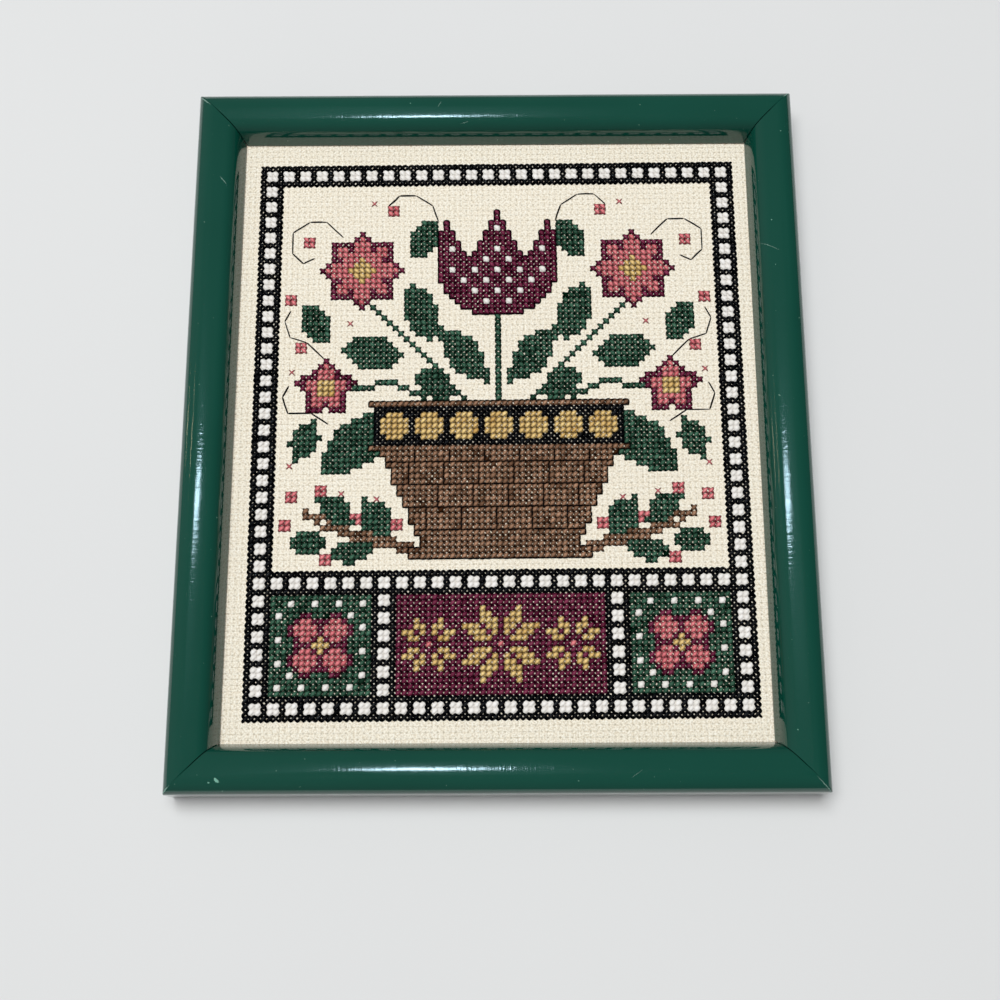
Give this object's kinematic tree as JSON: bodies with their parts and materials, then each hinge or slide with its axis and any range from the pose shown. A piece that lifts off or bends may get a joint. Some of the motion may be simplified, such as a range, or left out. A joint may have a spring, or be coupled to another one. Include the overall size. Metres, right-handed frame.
{
  "type": "cross-stitch picture in a wooden frame",
  "caption": "Flat stitched cloth picture, held face up over a plain board in the rabbet of a glossy green mitred wooden frame. It lies on its back or stands on its lower edge.",
  "frame": {"origin": "middle of the frame's outline, on the plane of its back faces", "axes": "+Z out of the picture's face, +Y towards the picture's top edge, +X to the right as the picture is read"},
  "size_m": [0.194, 0.2256, 0.018],
  "materials": {
    "lacquered_wood": "high-gloss dark green lacquer over wood",
    "stitched_cotton": "cream evenweave cotton worked with glossy stranded cotton",
    "board": "plain brown pressed board"
  },
  "bodies": {
    "root": {"frame_rail_top": "lacquered_wood", "frame_rail_bottom": "lacquered_wood", "frame_rail_left": "lacquered_wood", "frame_rail_right": "lacquered_wood", "stitched_cloth": "stitched_cotton", "backing_board": "board"}
  },
  "joints": []
}
